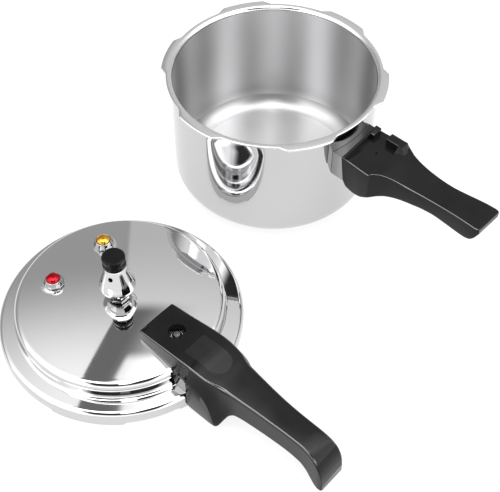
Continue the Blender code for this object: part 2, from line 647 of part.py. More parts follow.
def make_weight():
    line = [(0.0, 86.0), (4.6, 86.0), (5.0, 85.6), (5.0, 80.9), (8.5, 80.9), (9.2, 80.1), (10.4, 76.0)]
    line += [(12.4, 70.0), (14.5, 64.0), (16.0, 59.0), (16.6, 56.0), (16.4, 53.8), (14.6, 50.6), (11.2, 46.8)]
    line += [(6.2, 46.8), (6.2, 57.2), (5.3, 57.8), (5.3, 66.6), (0.0, 66.6)]
    body = turned("weight_body", line, CHROME, 28)
    place(body, LID_FRAME)
    hole = rod("steam_hole", 2.2, 4.0, 14.0, segments=16)
    place(hole, LID_FRAME, (0.0, 0.0, 73.6))
    hole.rotation_euler = (0.0, math.pi / 2, math.radians(STEAM_HOLE_TURN))
    combine(body, hole)
    spindle = [(0.0, 66.2), (4.3, 66.2), (4.9, 65.6), (4.9, 57.0), (3.6, 55.6), (0.0, 55.6)]
    place(turned("weight_spindle", spindle, STEEL, 16), LID_FRAME)
    knob = [(0.0, 94.6), (9.2, 94.6), (10.3, 94.0), (10.6, 92.8), (10.6, 90.8), (9.9, 89.7), (9.4, 88.2)]
    knob += [(9.9, 86.9), (10.6, 86.0), (10.7, 83.4), (9.7, 81.6), (8.8, 81.2), (5.3, 81.2), (5.3, 86.4)]
    knob += [(0.0, 86.4)]
    place(turned("weight_knob", knob, BAKELITE, 24), LID_FRAME)


STEAM_HOLE_TURN = -66.5


# ---------------------------------------------------------------- valves

CAP = [(0.0, 49.7), (2.5, 49.4), (4.6, 48.7), (6.0, 47.7), (6.4, 46.8), (6.4, 45.9), (5.6, 45.2)]
CUP = [(6.75, 46.4), (7.2, 46.4), (7.6, 45.8), (9.4, 41.6), (9.4, 40.6), (8.6, 39.0), (STEM_R, 39.0)]


def make_valve_body(name, at, bore):
    """A tapered cup on a threaded stem; bore lists the (r, z) points up the inside."""
    line = CUP + [(STEM_R, 26.5)] + bore + [(6.5, 44.6)]
    place(turned(f"{name}_valve_body", line, CHROME, 24, closed=True), LID_FRAME, at)
    place(ring(f"{name}_valve_washer", STEM_HOLE_R, 8.6, 33.1, 34.6, RUBBER), LID_FRAME, at)
    hex_nut(f"{name}_valve_nut", at, 28.3, 32.8, 14.0, 5.3, STEEL)


def make_red_valve():
    """The pressure indicator: a float whose red cap rises out of its cup."""
    make_valve_body("red", RED_AT, [(2.6, 26.5), (2.6, 44.6)])
    line = CAP + [(2.1, 45.0), (2.1, 20.8), (4.3, 20.6), (4.3, 18.8), (0.0, 18.8)]
    place(turned("red_valve_float", line, RED, 20), LID_FRAME, RED_AT)
    place(ring("red_valve_seal", 2.4, 4.2, 21.1, 22.3, SILICONE, 16), LID_FRAME, RED_AT)


SPRING_LOW, SPRING_HIGH = 31.5, 42.0


def make_gold_valve():
    """The spring-loaded relief valve: a plate held on its seat by a spring, under a gold cap."""
    make_valve_body("gold", GOLD_AT, [(2.2, 26.5), (2.2, 28.0), (3.8, 28.0), (3.8, 42.7), (2.0, 42.7), (2.0, 44.6)])
    cap = CAP + [(1.95, 45.0), (1.95, 47.0), (0.0, 47.0)]
    place(turned("gold_valve_cap", cap, GOLD, 20), LID_FRAME, GOLD_AT)
    stem = [(0.0, 46.6), (1.4, 46.6), (1.6, 46.3), (1.6, 30.7), (3.3, 30.7), (3.3, 29.5), (0.0, 29.5)]
    place(turned("gold_valve_stem", stem, STEEL, 16), LID_FRAME, GOLD_AT)
    disc = [(0.0, 29.2), (3.2, 29.2), (3.2, 28.3), (0.0, 28.3)]
    place(turned("gold_valve_seal", disc, SILICONE, 16), LID_FRAME, GOLD_AT)
    make_spring("gold_valve_spring", GOLD_AT, 2.75, 0.4, 5.0)


def make_spring(name, at, radius, wire, turns):
    """A coil with a closed turn at each end, so that it ends flat."""
    per_turn = 10
    count = int((turns + 2.0) * per_turn)
    low, high = SPRING_LOW + wire, SPRING_HIGH - wire
    curve = bpy.data.curves.new(name, "CURVE")
    curve.dimensions = "3D"
    curve.bevel_depth = wire * MM
    curve.bevel_resolution = 1
    curve.use_fill_caps = True
    spline = curve.splines.new("POLY")
    spline.points.add(count)
    for i in range(count + 1):
        angle = 2.0 * math.pi * i / per_turn
        rise = min(max(i / per_turn - 1.0, 0.0), turns) / turns
        flat = wire * 2.2 * (min(i / per_turn, 1.0) - 1.0 + max(i / per_turn - turns - 1.0, 0.0))
        z = low + wire * 2.2 + (high - low - wire * 4.4) * rise + flat
        spline.points[i].co = (radius * math.cos(angle) * MM, radius * math.sin(angle) * MM, z * MM, 1.0)
    curve.materials.append(STEEL)
    spring = bpy.data.objects.new(name, curve)
    PARTS.objects.link(spring)
    place(spring, LID_FRAME, at)


def main():
    make_pot_body()
    make_pot_bracket()
    make_rivets()
    make_pot_handle()
    make_pot_handle_fixings()
    make_lid_shell()
    make_sealing_ring()
    make_lid_bracket()
    make_lid_handle()
    make_lid_handle_fixings()
    make_vent()
    make_weight()
    make_red_valve()
    make_gold_valve()


main()
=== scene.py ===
import json
import math

import bmesh
import bpy
from mathutils import Matrix, Vector


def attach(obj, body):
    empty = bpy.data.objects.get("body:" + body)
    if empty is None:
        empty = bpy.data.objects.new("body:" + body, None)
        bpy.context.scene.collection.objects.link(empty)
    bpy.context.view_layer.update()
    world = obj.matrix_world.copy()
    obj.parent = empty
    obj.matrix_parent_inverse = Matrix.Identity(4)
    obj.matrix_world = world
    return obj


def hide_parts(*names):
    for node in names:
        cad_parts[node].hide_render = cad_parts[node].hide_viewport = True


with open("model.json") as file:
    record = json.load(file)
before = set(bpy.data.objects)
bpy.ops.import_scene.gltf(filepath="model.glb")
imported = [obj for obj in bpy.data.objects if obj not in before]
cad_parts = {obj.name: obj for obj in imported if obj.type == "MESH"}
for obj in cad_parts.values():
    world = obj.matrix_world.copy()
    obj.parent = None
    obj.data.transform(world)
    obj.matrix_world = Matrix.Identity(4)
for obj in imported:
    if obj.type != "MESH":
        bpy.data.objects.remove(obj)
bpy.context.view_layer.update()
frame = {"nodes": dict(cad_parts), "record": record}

# the shapes are written in millimetres, in the frame of the pot or of the lid
MM = 0.001
LID_AT = Vector((35.4, -246.5, 0.0)) * MM
LID_TURN = math.radians(1.5)
POT_MATRIX = Matrix.Identity(4)
LID_MATRIX = Matrix.Translation(LID_AT) @ Matrix.Rotation(LID_TURN, 4, "Z")

# ---------------------------------------------------------------- node materials


class Nodes:
    """A short way to write a node tree."""

    def __init__(self, tree):
        self.tree = tree

    def add(self, kind, inputs=None, **settings):
        node = self.tree.nodes.new(kind)
        for key, value in settings.items():
            setattr(node, key, value)
        for key, value in (inputs or {}).items():
            self.put(value, node.inputs[key])
        return node

    def put(self, value, socket):
        """Links a socket's value, or sets a plain one."""
        if isinstance(value, bpy.types.NodeSocket):
            self.tree.links.new(value, socket)
        else:
            socket.default_value = value

    def math(self, operation, *values):
        return self.add("ShaderNodeMath", dict(enumerate(values)), operation=operation).outputs[0]

    def ramp(self, value, low, high, out_low=0.0, out_high=1.0):
        """A smooth step from out_low to out_high while value goes from low to high."""
        inputs = {"Value": value, "From Min": low, "From Max": high}
        inputs.update({"To Min": out_low, "To Max": out_high})
        return self.add("ShaderNodeMapRange", inputs, interpolation_type="SMOOTHSTEP").outputs[0]

    def noise(self, vector, scale, detail=3.0, roughness=0.5):
        inputs = {"Vector": vector, "Scale": scale, "Detail": detail, "Roughness": roughness}
        return self.add("ShaderNodeTexNoise", inputs).outputs["Fac"]

    def stretch(self, vector, x, y, z):
        inputs = {0: vector, 1: (x, y, z)}
        return self.add("ShaderNodeVectorMath", inputs, operation="MULTIPLY").outputs[0]

    def mix(self, share, first, second):
        """A number between two numbers."""
        return self.add("ShaderNodeMix", {0: share, 2: first, 3: second}).outputs[0]

    def blend(self, share, first, second):
        """A colour between two colours."""
        node = self.add("ShaderNodeMix", {"Factor": share}, data_type="RGBA")
        for value, socket in ((first, node.inputs[6]), (second, node.inputs[7])):
            self.put((*value, 1.0) if isinstance(value, tuple) else value, socket)
        return node.outputs[2]

    def relief(self, height, distance, shader):
        """Bumps of this height, times the distance in metres, on the shader."""
        inputs = {"Height": height, "Strength": 1.0, "Distance": distance}
        bump = self.add("ShaderNodeBump", inputs)
        self.put(bump.outputs[0], shader.inputs["Normal"])


def new_material(name):
    material = bpy.data.materials.new(name)
    material.use_nodes = True
    nodes = Nodes(material.node_tree)
    shader = material.node_tree.nodes["Principled BSDF"]
    coordinates = nodes.add("ShaderNodeTexCoord").outputs["Object"]
    return material, nodes, shader, coordinates


def polar(nodes, coordinates):
    """(radius from Z, angle round Z, height) of a point as one vector, for a lathe's marks."""
    x, y, z = nodes.add("ShaderNodeSeparateXYZ", {0: coordinates}).outputs
    squares = nodes.math("ADD", nodes.math("MULTIPLY", x, x), nodes.math("MULTIPLY", y, y))
    inputs = {0: nodes.math("SQRT", squares), 1: nodes.math("ARCTAN2", y, x), 2: z}
    return nodes.add("ShaderNodeCombineXYZ", inputs).outputs[0]


# noise scales, per metre
SMEAR_SCALE, STAIN_SCALE, WAVE_SCALE = 22.0, 9.0, 14.0
MARKS_ALONG = 0.02  # how much less the lathe's marks change along their arc than across it
METAL_RELIEF = 0.00001
ACROSS = 0.25  # turns of the anisotropic highlight, so that it runs up and down a wall


def metal(
    name,
    colour,
    roughness,
    spread=0.03,
    lathe=0.0,
    lathe_scale=900.0,
    anisotropic=0.0,
    waves=0.0,
    stain=0.06,
):
    """Metal with smears of polish, lathe marks round Z, and slow waves in its sheet."""
    material, nodes, shader, coordinates = new_material(name)
    around = polar(nodes, coordinates)
    smear = nodes.noise(coordinates, SMEAR_SCALE, 4.0, 0.6)
    fine = nodes.noise(nodes.stretch(around, 1.0, MARKS_ALONG, 1.0), lathe_scale, 2.0, 0.7)
    smeared = nodes.ramp(smear, 0.3, 0.7, roughness - spread, roughness + spread)
    marks = nodes.math("MULTIPLY", nodes.math("SUBTRACT", fine, 0.5), spread * lathe)
    nodes.put(nodes.math("ADD", smeared, marks), shader.inputs["Roughness"])
    darker = tuple(c * (1.0 - stain) for c in colour)
    patches = nodes.noise(coordinates, STAIN_SCALE, 3.0)
    nodes.put(nodes.blend(patches, darker, colour), shader.inputs["Base Color"])
    shader.inputs["Metallic"].default_value = 1.0
    sheet = nodes.math("MULTIPLY", nodes.noise(coordinates, WAVE_SCALE, 1.0), waves)
    height = nodes.math("ADD", nodes.math("MULTIPLY", fine, lathe), sheet)
    nodes.relief(height, METAL_RELIEF, shader)
    if anisotropic:
        shader.inputs["Anisotropic"].default_value = anisotropic
        shader.inputs["Anisotropic Rotation"].default_value = ACROSS
        tangent = nodes.add("ShaderNodeTangent", direction_type="RADIAL", axis="Z")
        nodes.put(tangent.outputs[0], shader.inputs["Tangent"])
    return material


CLOUD_SCALE, GRAIN_SCALE, DENT_SCALE = 35.0, 900.0, 60.0
DENT_SHARE = 4.0  # the height of the slow dents, against the grain's
MOULDED_RELIEF = 0.000006
GLOSS_SPREAD = 0.18


def moulded(name, colour, roughness, grain, specular, haze):
    """Moulded plastic or rubber, uneven in gloss and surface, with a haze of lighter colour."""
    material, nodes, shader, coordinates = new_material(name)
    cloud = nodes.noise(coordinates, CLOUD_SCALE, 4.0, 0.6)
    least, most = roughness * (1.0 - GLOSS_SPREAD), roughness * (1.0 + GLOSS_SPREAD)
    nodes.put(nodes.ramp(cloud, 0.25, 0.75, least, most), shader.inputs["Roughness"])
    lighter = tuple(c + haze for c in colour)
    hazy = nodes.blend(nodes.ramp(cloud, 0.35, 0.9), colour, lighter)
    nodes.put(hazy, shader.inputs["Base Color"])
    dents = nodes.math("MULTIPLY", nodes.noise(coordinates, DENT_SCALE, 1.0), DENT_SHARE)
    height = nodes.math("ADD", nodes.noise(coordinates, GRAIN_SCALE, 2.0), dents)
    nodes.relief(height, MOULDED_RELIEF * grain, shader)
    shader.inputs["Specular IOR Level"].default_value = specular
    return material


def paint_highlight_bands(material, depth, count, turn):
    """Painted highlight: soft lighter and darker bands in the base colour round the axis,
    standing in for the highlights on spun metal.
    """
    nodes = Nodes(material.node_tree)
    socket = material.node_tree.nodes["Principled BSDF"].inputs["Base Color"]
    coordinates = nodes.add("ShaderNodeTexCoord").outputs["Object"]
    x, y, _ = nodes.add("ShaderNodeSeparateXYZ", {0: coordinates}).outputs
    angle = nodes.math("ARCTAN2", y, x)
    around = nodes.math("MULTIPLY_ADD", angle, float(count), math.radians(turn))
    inputs = {
        0: socket.links[0].from_socket,
        "Scale": nodes.math("MULTIPLY_ADD", nodes.math("COSINE", around), depth, 1.0),
    }
    scaled = nodes.add("ShaderNodeVectorMath", inputs, operation="SCALE")
    nodes.put(scaled.outputs[0], socket)


def paint_shade_upward(material, dark):
    """Painted shade: darkens the colour of the faces that look up, on a piece whose upward faces
    lie deep in a gap.
    """
    nodes = Nodes(material.node_tree)
    socket = material.node_tree.nodes["Principled BSDF"].inputs["Base Color"]
    normal = nodes.add("ShaderNodeNewGeometry").outputs["Normal"]
    upward = nodes.ramp(nodes.add("ShaderNodeSeparateXYZ", {0: normal}).outputs[2], 0.6, 0.9)
    nodes.put(nodes.blend(upward, socket.links[0].from_socket, (dark, dark, dark)), socket)


WALL_SATIN = {"anisotropic": 0.75, "stain": 0.03}

# name, colour, roughness and its spread, then the marks
POLISHED = metal("polished_outside", (0.575, 0.575, 0.58), 0.055, 0.018, lathe=0.25, waves=5.0)
LID_METAL = metal("polished_lid", (0.61, 0.61, 0.615), 0.03, 0.01, lathe=0.1, waves=3.0)
SATIN = metal("satin_inside", (0.66, 0.66, 0.665), 0.36, 0.02, **WALL_SATIN)
# painted shade: a darker copy of the satin wall, for the bottom corner inside the pot
SATIN_CORNER_PAINTED_SHADE = metal("satin_corner_painted_shade", (0.47, 0.47, 0.475), 0.36, 0.02, **WALL_SATIN)
SATIN_FLOOR = metal("satin_floor", (0.60, 0.60, 0.605), 0.42, 0.03, anisotropic=0.5, stain=0.03)
LID_INSIDE = metal("satin_lid_inside", (0.70, 0.70, 0.70), 0.32, 0.04, 1.0, 1500.0, waves=4.0)
CHROME = metal("chrome", (0.64, 0.64, 0.645), 0.05, 0.015, lathe=0.3, stain=0.02)
# painted shade: a darker copy of the chrome for the valve cups
CUP_PAINTED_SHADE_METAL = metal("chrome_cup_painted_shade", (0.36, 0.36, 0.365), 0.06, 0.015, lathe=0.3, stain=0.02)
SCREW_METAL = metal("dark_screw", (0.16, 0.16, 0.162), 0.22, 0.05, lathe=0.5)
STEEL = metal("plain_steel", (0.56, 0.56, 0.57), 0.28, 0.06, lathe=1.0, lathe_scale=2500.0)
# painted shade: darker copies of the chrome for the pot's bracket, under the rim, and the lid's
# bracket, under the handle
POT_BRACKET_PAINTED_SHADE = metal("pot_bracket_painted_shade", (0.34, 0.34, 0.345), 0.16, 0.04, lathe=0.3, stain=0.1)
LID_BRACKET_PAINTED_SHADE = metal(
    "lid_bracket_painted_shade", (0.055, 0.055, 0.056), 0.14, 0.04, lathe=0.3, stain=0.1
)
RIM_METAL = metal("satin_rim", (0.70, 0.70, 0.705), 0.17, 0.02, stain=0.03)
BRASS = metal("brass", (0.70, 0.52, 0.24), 0.24, 0.05, lathe=1.0, lathe_scale=2500.0)
RED_CAP = metal("red_cap", (0.46, 0.014, 0.022), 0.16, 0.03, stain=0.15)
GOLD_CAP = metal("gold_cap", (0.66, 0.34, 0.045), 0.16, 0.03, stain=0.15)
# painted highlight: lighter and darker bands in the colour of the pot's inner wall, every 30
# degrees round its axis
paint_highlight_bands(SATIN, depth=0.2, count=12, turn=-162.0)
# painted shade on the pot bracket's upward faces, which lie deep in the gap under the rim
paint_shade_upward(POT_BRACKET_PAINTED_SHADE, 0.10)

# name, colour, roughness, grain, specular level, haze
BAKELITE = moulded("black_bakelite", (0.005, 0.005, 0.0055), 0.14, 1.0, 0.18, 0.003)
BAKELITE_EDGE = moulded("bakelite_edge", (0.005, 0.005, 0.0055), 0.12, 1.0, 0.85, 0.003)
BAKELITE_EDGE.node_tree.nodes["Principled BSDF"].inputs["IOR"].default_value = 1.75
BAKELITE_PANEL = moulded("bakelite_panel", (0.008, 0.008, 0.0085), 0.2, 1.0, 0.3, 0.002)
KNOB_BLACK = moulded("black_knob", (0.003, 0.003, 0.003), 0.2, 1.0, 0.16, 0.003)
SILICONE = moulded("grey_silicone", (0.36, 0.36, 0.36), 0.55, 2.0, 0.35, 0.05)
RUBBER = moulded("black_rubber", (0.018, 0.018, 0.018), 0.6, 3.0, 0.3, 0.02)

# ---------------------------------------------------------------- shapes

STRAIGHT = 0.02  # a corner within this of a straight line, in radians, isn't rounded
SIDE_SHARE = 0.48  # an arc takes at most this much of the side next to it
WELD = 1e-4
SHARP = 32.0  # degrees: an edge that turns more than this is shaded sharp
ROD_SEGMENTS, TRIM_SEGMENTS = 48, 144


def arc(centre, radius, start, end, steps):
    found = []
    for i in range(steps + 1):
        angle = math.radians(start + (end - start) * i / steps)
        found.append((centre[0] + radius * math.cos(angle), centre[1] + radius * math.sin(angle)))
    return found


def rounded(corners, steps, closed=False):
    """Corners (a, b) or (a, b, radius) as a line, each radius drawn as an arc of steps pieces."""
    found = []
    count = len(corners)
    for i, corner in enumerate(corners):
        here = Vector(corner[:2])
        if len(corner) < 3 or (not closed and i in (0, count - 1)):
            found.append(tuple(here))
            continue
        to_last = Vector(corners[i - 1][:2]) - here
        to_next = Vector(corners[(i + 1) % count][:2]) - here
        opening = max(STRAIGHT, to_last.angle(to_next, math.pi))
        if opening > math.pi - STRAIGHT:
            start, end = here + to_last * 0.01, here + to_next * 0.01
            found += [tuple(start.lerp(end, k / steps)) for k in range(steps + 1)]
            continue
        longest = min(to_last.length, to_next.length) * SIDE_SHARE
        reach = min(corner[2] / math.tan(opening / 2), longest)
        radius = reach * math.tan(opening / 2)
        inward = (to_last.normalized() + to_next.normalized()).normalized()
        middle = here + inward * (radius / math.sin(opening / 2))
        start = here + to_last.normalized() * reach - middle
        end = here + to_next.normalized() * reach - middle
        turn = start.angle_signed(end, 0.0)
        for k in range(steps + 1):
            spun = start.copy()
            spun.rotate(Matrix.Rotation(-turn * k / steps, 2))
            found.append(tuple(middle + spun))
    return found


def shade(obj, sharp):
    obj.data.shade_smooth()
    obj.data.set_sharp_from_angle(angle=math.radians(sharp))


def link_mesh(name, bm, matrix):
    """A new object at matrix, from a mesh in millimetres."""
    bmesh.ops.recalc_face_normals(bm, faces=bm.faces)
    bmesh.ops.scale(bm, vec=(MM, MM, MM), verts=bm.verts)
    mesh = bpy.data.meshes.new(name)
    bm.to_mesh(mesh)
    bm.free()
    obj = bpy.data.objects.new(name, mesh)
    bpy.context.scene.collection.objects.link(obj)
    obj.matrix_world = matrix
    return obj


def finish_mesh(name, bm, materials, matrix, sharp=SHARP):
    bmesh.ops.remove_doubles(bm, verts=bm.verts, dist=WELD)
    obj = link_mesh(name, bm, matrix)
    for material in materials:
        obj.data.materials.append(material)
    shade(obj, sharp)
    return obj


def revolve(
    name, section_at, angles, materials, matrix, closed=False, zone=None, sharp=SHARP
):
    """A surface round Z whose (r, z) section may change with the angle.

    zone(i) is the number of the material of step i of the section.
    """
    bm = bmesh.new()
    sections = [section_at(a) for a in angles]
    on_axis = {i for i, (r, _) in enumerate(sections[0]) if r < 1e-6}
    shared = {i: bm.verts.new((0.0, 0.0, sections[0][i][1])) for i in on_axis}
    columns = []
    for angle, section in zip(angles, sections):
        cos, sin = math.cos(math.radians(angle)), math.sin(math.radians(angle))
        columns.append([])
        for i, (r, z) in enumerate(section):
            vertex = shared[i] if i in on_axis else bm.verts.new((r * cos, r * sin, z))
            columns[-1].append(vertex)
    steps = len(columns[0]) if closed else len(columns[0]) - 1
    for here, there in zip(columns, columns[1:] + columns[:1]):
        for i in range(steps):
            j = (i + 1) % len(here)
            corners = []
            for vertex in (here[i], here[j], there[j], there[i]):
                if vertex not in corners:
                    corners.append(vertex)
            if len(corners) > 2:
                face = bm.faces.new(corners)
                face.material_index = zone(i) if zone else 0
    return finish_mesh(name, bm, materials, matrix, sharp)


def turned(
    name, corners, material, matrix, segments=96, steps=4, closed=False, at=(0.0, 0.0)
):
    """One section turned round an axis parallel to Z."""
    line = rounded(corners, steps, closed)
    place = matrix @ Matrix.Translation((at[0] * MM, at[1] * MM, 0.0))
    angles = [360.0 * i / segments for i in range(segments)]
    return revolve(name, lambda _: line, angles, [material], place, closed)


def skin(bm, pairs):
    """Faces between each ring of vertices and the next."""
    for here, there in pairs:
        for i in range(len(here)):
            j = (i + 1) % len(here)
            bm.faces.new((here[i], here[j], there[j], there[i]))


def loft(name, sections, material, matrix, sharp=40.0):
    """A body through sections with the same number of points, closed at both ends."""
    bm = bmesh.new()
    rings = [[bm.verts.new(point) for point in section] for section in sections]
    skin(bm, zip(rings, rings[1:]))
    bm.faces.new(rings[0])
    bm.faces.new(rings[-1][::-1])
    return finish_mesh(name, bm, [material], matrix, sharp)


def cutter(bm, matrix):
    return link_mesh("cutter", bm, matrix)


def rod_cutter(matrix, at, radius, low, high, top_radius=None):
    bm = bmesh.new()
    bmesh.ops.create_cone(
        bm,
        cap_ends=True,
        segments=ROD_SEGMENTS,
        radius1=radius,
        radius2=radius if top_radius is None else top_radius,
        depth=high - low,
    )
    bmesh.ops.translate(bm, vec=(at[0], at[1], (low + high) / 2), verts=bm.verts)
    return cutter(bm, matrix)


def round_edges(bm, offset):
    if offset:
        bmesh.ops.bevel(
            bm, geom=bm.edges, offset=offset, segments=3, profile=0.5, affect="EDGES"
        )


def block_cutter(matrix, low, high, bevel=0.0):
    bm = bmesh.new()
    bmesh.ops.create_cube(bm, size=1.0)
    bmesh.ops.scale(bm, vec=[b - a for a, b in zip(low, high)], verts=bm.verts)
    bmesh.ops.translate(bm, vec=[(a + b) / 2 for a, b in zip(low, high)], verts=bm.verts)
    round_edges(bm, bevel)
    return cutter(bm, matrix)


def hull_cutter(matrix, points, bevel=0.0):
    """The convex body round the points, its edges rounded."""
    bm = bmesh.new()
    for point in points:
        bm.verts.new(point)
    bmesh.ops.convex_hull(bm, input=bm.verts)
    bmesh.ops.dissolve_limit(
        bm, angle_limit=math.radians(2.0), verts=bm.verts, edges=bm.edges
    )
    round_edges(bm, bevel)
    return cutter(bm, matrix)


def turned_cutter(matrix, line):
    bm = bmesh.new()
    columns = []
    for i in range(TRIM_SEGMENTS):
        turn = 2.0 * math.pi * i / TRIM_SEGMENTS
        cos, sin = math.cos(turn), math.sin(turn)
        columns.append([bm.verts.new((r * cos, r * sin, z)) for r, z in line])
    skin(bm, zip(columns, columns[1:] + columns[:1]))
    bmesh.ops.remove_doubles(bm, verts=bm.verts, dist=WELD)
    return cutter(bm, matrix)


def carve(obj, *tools, sharp=SHARP):
    """Applies Boolean tools, each an object or (object, operation), to obj, and removes them."""
    for tool in tools:
        other, operation = tool if isinstance(tool, tuple) else (tool, "DIFFERENCE")
        modifier = obj.modifiers.new("carve", "BOOLEAN")
        modifier.operation, modifier.solver, modifier.object = operation, "EXACT", other
        bpy.context.view_layer.update()
        evaluated = obj.evaluated_get(bpy.context.evaluated_depsgraph_get())
        mesh = bpy.data.meshes.new_from_object(evaluated)
        obj.modifiers.clear()
        obj.data = mesh
        bpy.data.objects.remove(other)
    shade(obj, sharp)
    return obj


EDGE_UP_LEAST, EDGE_UP_MOST, EDGE_SIDE_LEAST = 0.6, 0.96, 0.27
EDGE_AREA_MOST = 4.0 * MM**2


def polish_edges(handle):
    """Gives the rounded long edges of a handle's top a brighter polish."""
    handle.data.materials.append(BAKELITE_EDGE)
    for face in handle.data.polygons:
        tilted = EDGE_UP_LEAST < face.normal.z < EDGE_UP_MOST
        if tilted and abs(face.normal.y) > EDGE_SIDE_LEAST and face.area < EDGE_AREA_MOST:
            face.material_index = len(handle.data.materials) - 1


def stand_for(obj, body, node):
    """Lets obj ride on the body in place of its CAD node, its turn and size held in its mesh."""
    place = obj.matrix_world.copy()
    obj.data.transform(place.to_3x3().to_4x4())
    obj.matrix_world = Matrix.Translation(place.translation)
    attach(obj, body)
    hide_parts(node)
    return obj


def interpolate(rows, at):
    """The row of a table at a place between its rows, by a cubic that doesn't overshoot."""
    xs = [row[0] for row in rows]
    i = max(0, min(len(xs) - 2, sum(x <= at for x in xs) - 1))
    h = xs[i + 1] - xs[i]
    t = (at - xs[i]) / h

    def slope(j, c):
        if j == 0 or j == len(xs) - 1:
            k = 0 if j == 0 else j - 1
            return (rows[k + 1][c] - rows[k][c]) / (xs[k + 1] - xs[k])
        before = (rows[j][c] - rows[j - 1][c]) / (xs[j] - xs[j - 1])
        after = (rows[j + 1][c] - rows[j][c]) / (xs[j + 1] - xs[j])
        return 0.0 if before * after <= 0 else 2.0 * before * after / (before + after)

    found = [at]
    for c in range(1, len(rows[0])):
        m, n = slope(i, c) * h, slope(i + 1, c) * h
        found.append(
            rows[i][c] * (2 * t**3 - 3 * t**2 + 1)
            + m * (t**3 - 2 * t**2 + t)
            + rows[i + 1][c] * (3 * t**2 - 2 * t**3)
            + n * (t**3 - t**2)
        )
    return found


def spaced(start, end, step):
    """Places from start to end, about step apart."""
    count = max(1, round((end - start) / step))
    return [start + (end - start) * i / count for i in range(count + 1)]


def stations(start, *spans):
    """Places from start on, through spans of (end, step)."""
    found = [start]
    for end, step in spans:
        found += spaced(start, end, step)[1:]
        start = end
    return found


LUG_PITCH = 60.0


def lug_share(angle, half, root):
    """1 within half degrees of a lug's middle, 0 from root degrees on."""
    away = abs(angle % LUG_PITCH - LUG_PITCH / 2)
    return min(1.0, max(0.0, (root - away) / (root - half)))


def mix(a, b, share):
    return a + (b - a) * share


RING_ANGLES = [i * 1.0 for i in range(360)]

# ---------------------------------------------------------------- pot

POT_R, POT_WALL, POT_FLOOR, POT_CORNER = 100.0, 2.2, 3.5, 22.2
RIM_TOP, RIM_THICK, RIM_EDGE_R, LUG_EDGE_R = 131.5, 2.2, 106.5, 111.4
POT_LUG_HALF, POT_LUG_ROOT = 11.0, 15.4
FLOOR_RADII = (0.0, 30.0, 60.0)
WALL_HEIGHTS = (45.0, 70.0, 95.0, 115.0)
POT_MATERIALS = [POLISHED, SATIN, RIM_METAL, SATIN_FLOOR, SATIN_CORNER_PAINTED_SHADE]
# the step of the section that each material ends before; the rest is polished
POT_ZONES = ((4, SATIN_FLOOR), (13, SATIN_CORNER_PAINTED_SHADE), (22, SATIN), (38, RIM_METAL))


def pot_section(angle):
    edge = mix(RIM_EDGE_R, LUG_EDGE_R, lug_share(angle, POT_LUG_HALF, POT_LUG_ROOT))
    outer, flange = POT_R + POT_WALL, RIM_TOP - RIM_THICK
    inner = POT_CORNER - POT_WALL
    line = [(r, POT_FLOOR) for r in FLOOR_RADII]
    line += arc((POT_R - inner, POT_FLOOR + inner), inner, -90, 0, 14)
    line += [(POT_R, z) for z in WALL_HEIGHTS]
    line += arc((POT_R + 4.0, RIM_TOP - 4.0), 4.0, 180, 90, 8)
    line += arc((edge - 0.9, RIM_TOP - 0.9), 0.9, 90, 0, 4)
    line += arc((edge - 0.7, flange + 0.7), 0.7, 0, -90, 3)
    line += arc((outer + 1.2, flange - 1.2), 1.2, 90, 180, 4)
    line += [(outer, z) for z in reversed(WALL_HEIGHTS)]
    line += arc((outer - POT_CORNER, POT_CORNER), POT_CORNER, 0, -90, 14)
    return line + [(r, 0.0) for r in reversed(FLOOR_RADII)]


def pot_zone(step):
    material = next((material for end, material in POT_ZONES if step < end), POLISHED)
    return POT_MATERIALS.index(material)


def make_pot():
    pot = revolve(
        "pot_visual", pot_section, RING_ANGLES, POT_MATERIALS, POT_MATRIX, zone=pot_zone
    )
    stand_for(pot, "pot", "pot_body")


# x, half width, z of the top, z of the underside, lean, corner radius of the underside
POT_HANDLE = (
    (109.9, 26.7, 107.8, 77.0, 4.5, 2.0),
    (113.0, 26.9, 107.8, 72.4, 5.0, 2.5),
    (124.0, 27.4, 107.8, 70.8, 3.0, 2.5),
    (134.0, 28.1, 107.8, 72.2, 0.0, 2.5),
    (143.2, 28.4, 107.8, 77.2, 0.0, 2.5),
    (144.6, 28.1, 110.2, 78.1, 0.0, 2.5),
    (147.5, 26.4, 110.9, 79.6, 0.0, 2.5),
    (152.0, 23.7, 111.1, 81.8, 0.0, 2.5),
    (160.0, 20.1, 110.2, 84.6, 0.0, 2.5),
    (172.0, 17.4, 108.8, 87.0, 0.0, 3.0),
    (185.0, 15.7, 108.0, 88.7, 0.0, 3.0),
    (197.0, 14.6, 107.9, 89.9, 0.0, 3.5),
    (209.0, 14.2, 108.2, 90.6, 0.0, 3.5),
    (220.0, 14.5, 109.1, 90.3, 0.0, 3.5),
    (233.0, 15.3, 110.3, 90.0, 0.0, 3.5),
    (243.0, 16.0, 110.9, 90.3, 0.0, 3.5),
    (249.0, 16.3, 111.0, 92.4, 0.0, 3.0),
    (253.0, 16.4, 111.0, 96.8, 0.0, 2.5),
    (255.6, 16.0, 110.9, 101.8, 0.0, 2.0),
    (257.0, 14.8, 110.7, 104.6, 0.0, 1.6),
)
HANDLE_TOP = 107.8  # the flat top between the pot handle's ears
POT_SCREW_AT = (132.0, 0.0)
EAR_TOP = 114.95
TOP_EDGE_R = 1.1


def pot_handle_section(row):
    x, half, top, low, lean, belly = row
    corners = [(half, top, TOP_EDGE_R), (half, low, belly)]
    corners += [(-half, low, belly), (-half, top, TOP_EDGE_R)]
    outline = rounded(corners, 6, closed=True)
    return [(x + lean * (top - z) / (top - low), y, z) for y, z in outline]


def slanted(xs, ends):
    """The corners of a wall across the handle: (y, height) at each of its ends."""
    return [(x, y, z) for x in xs for y, high in ends for z in (105.0, high)]


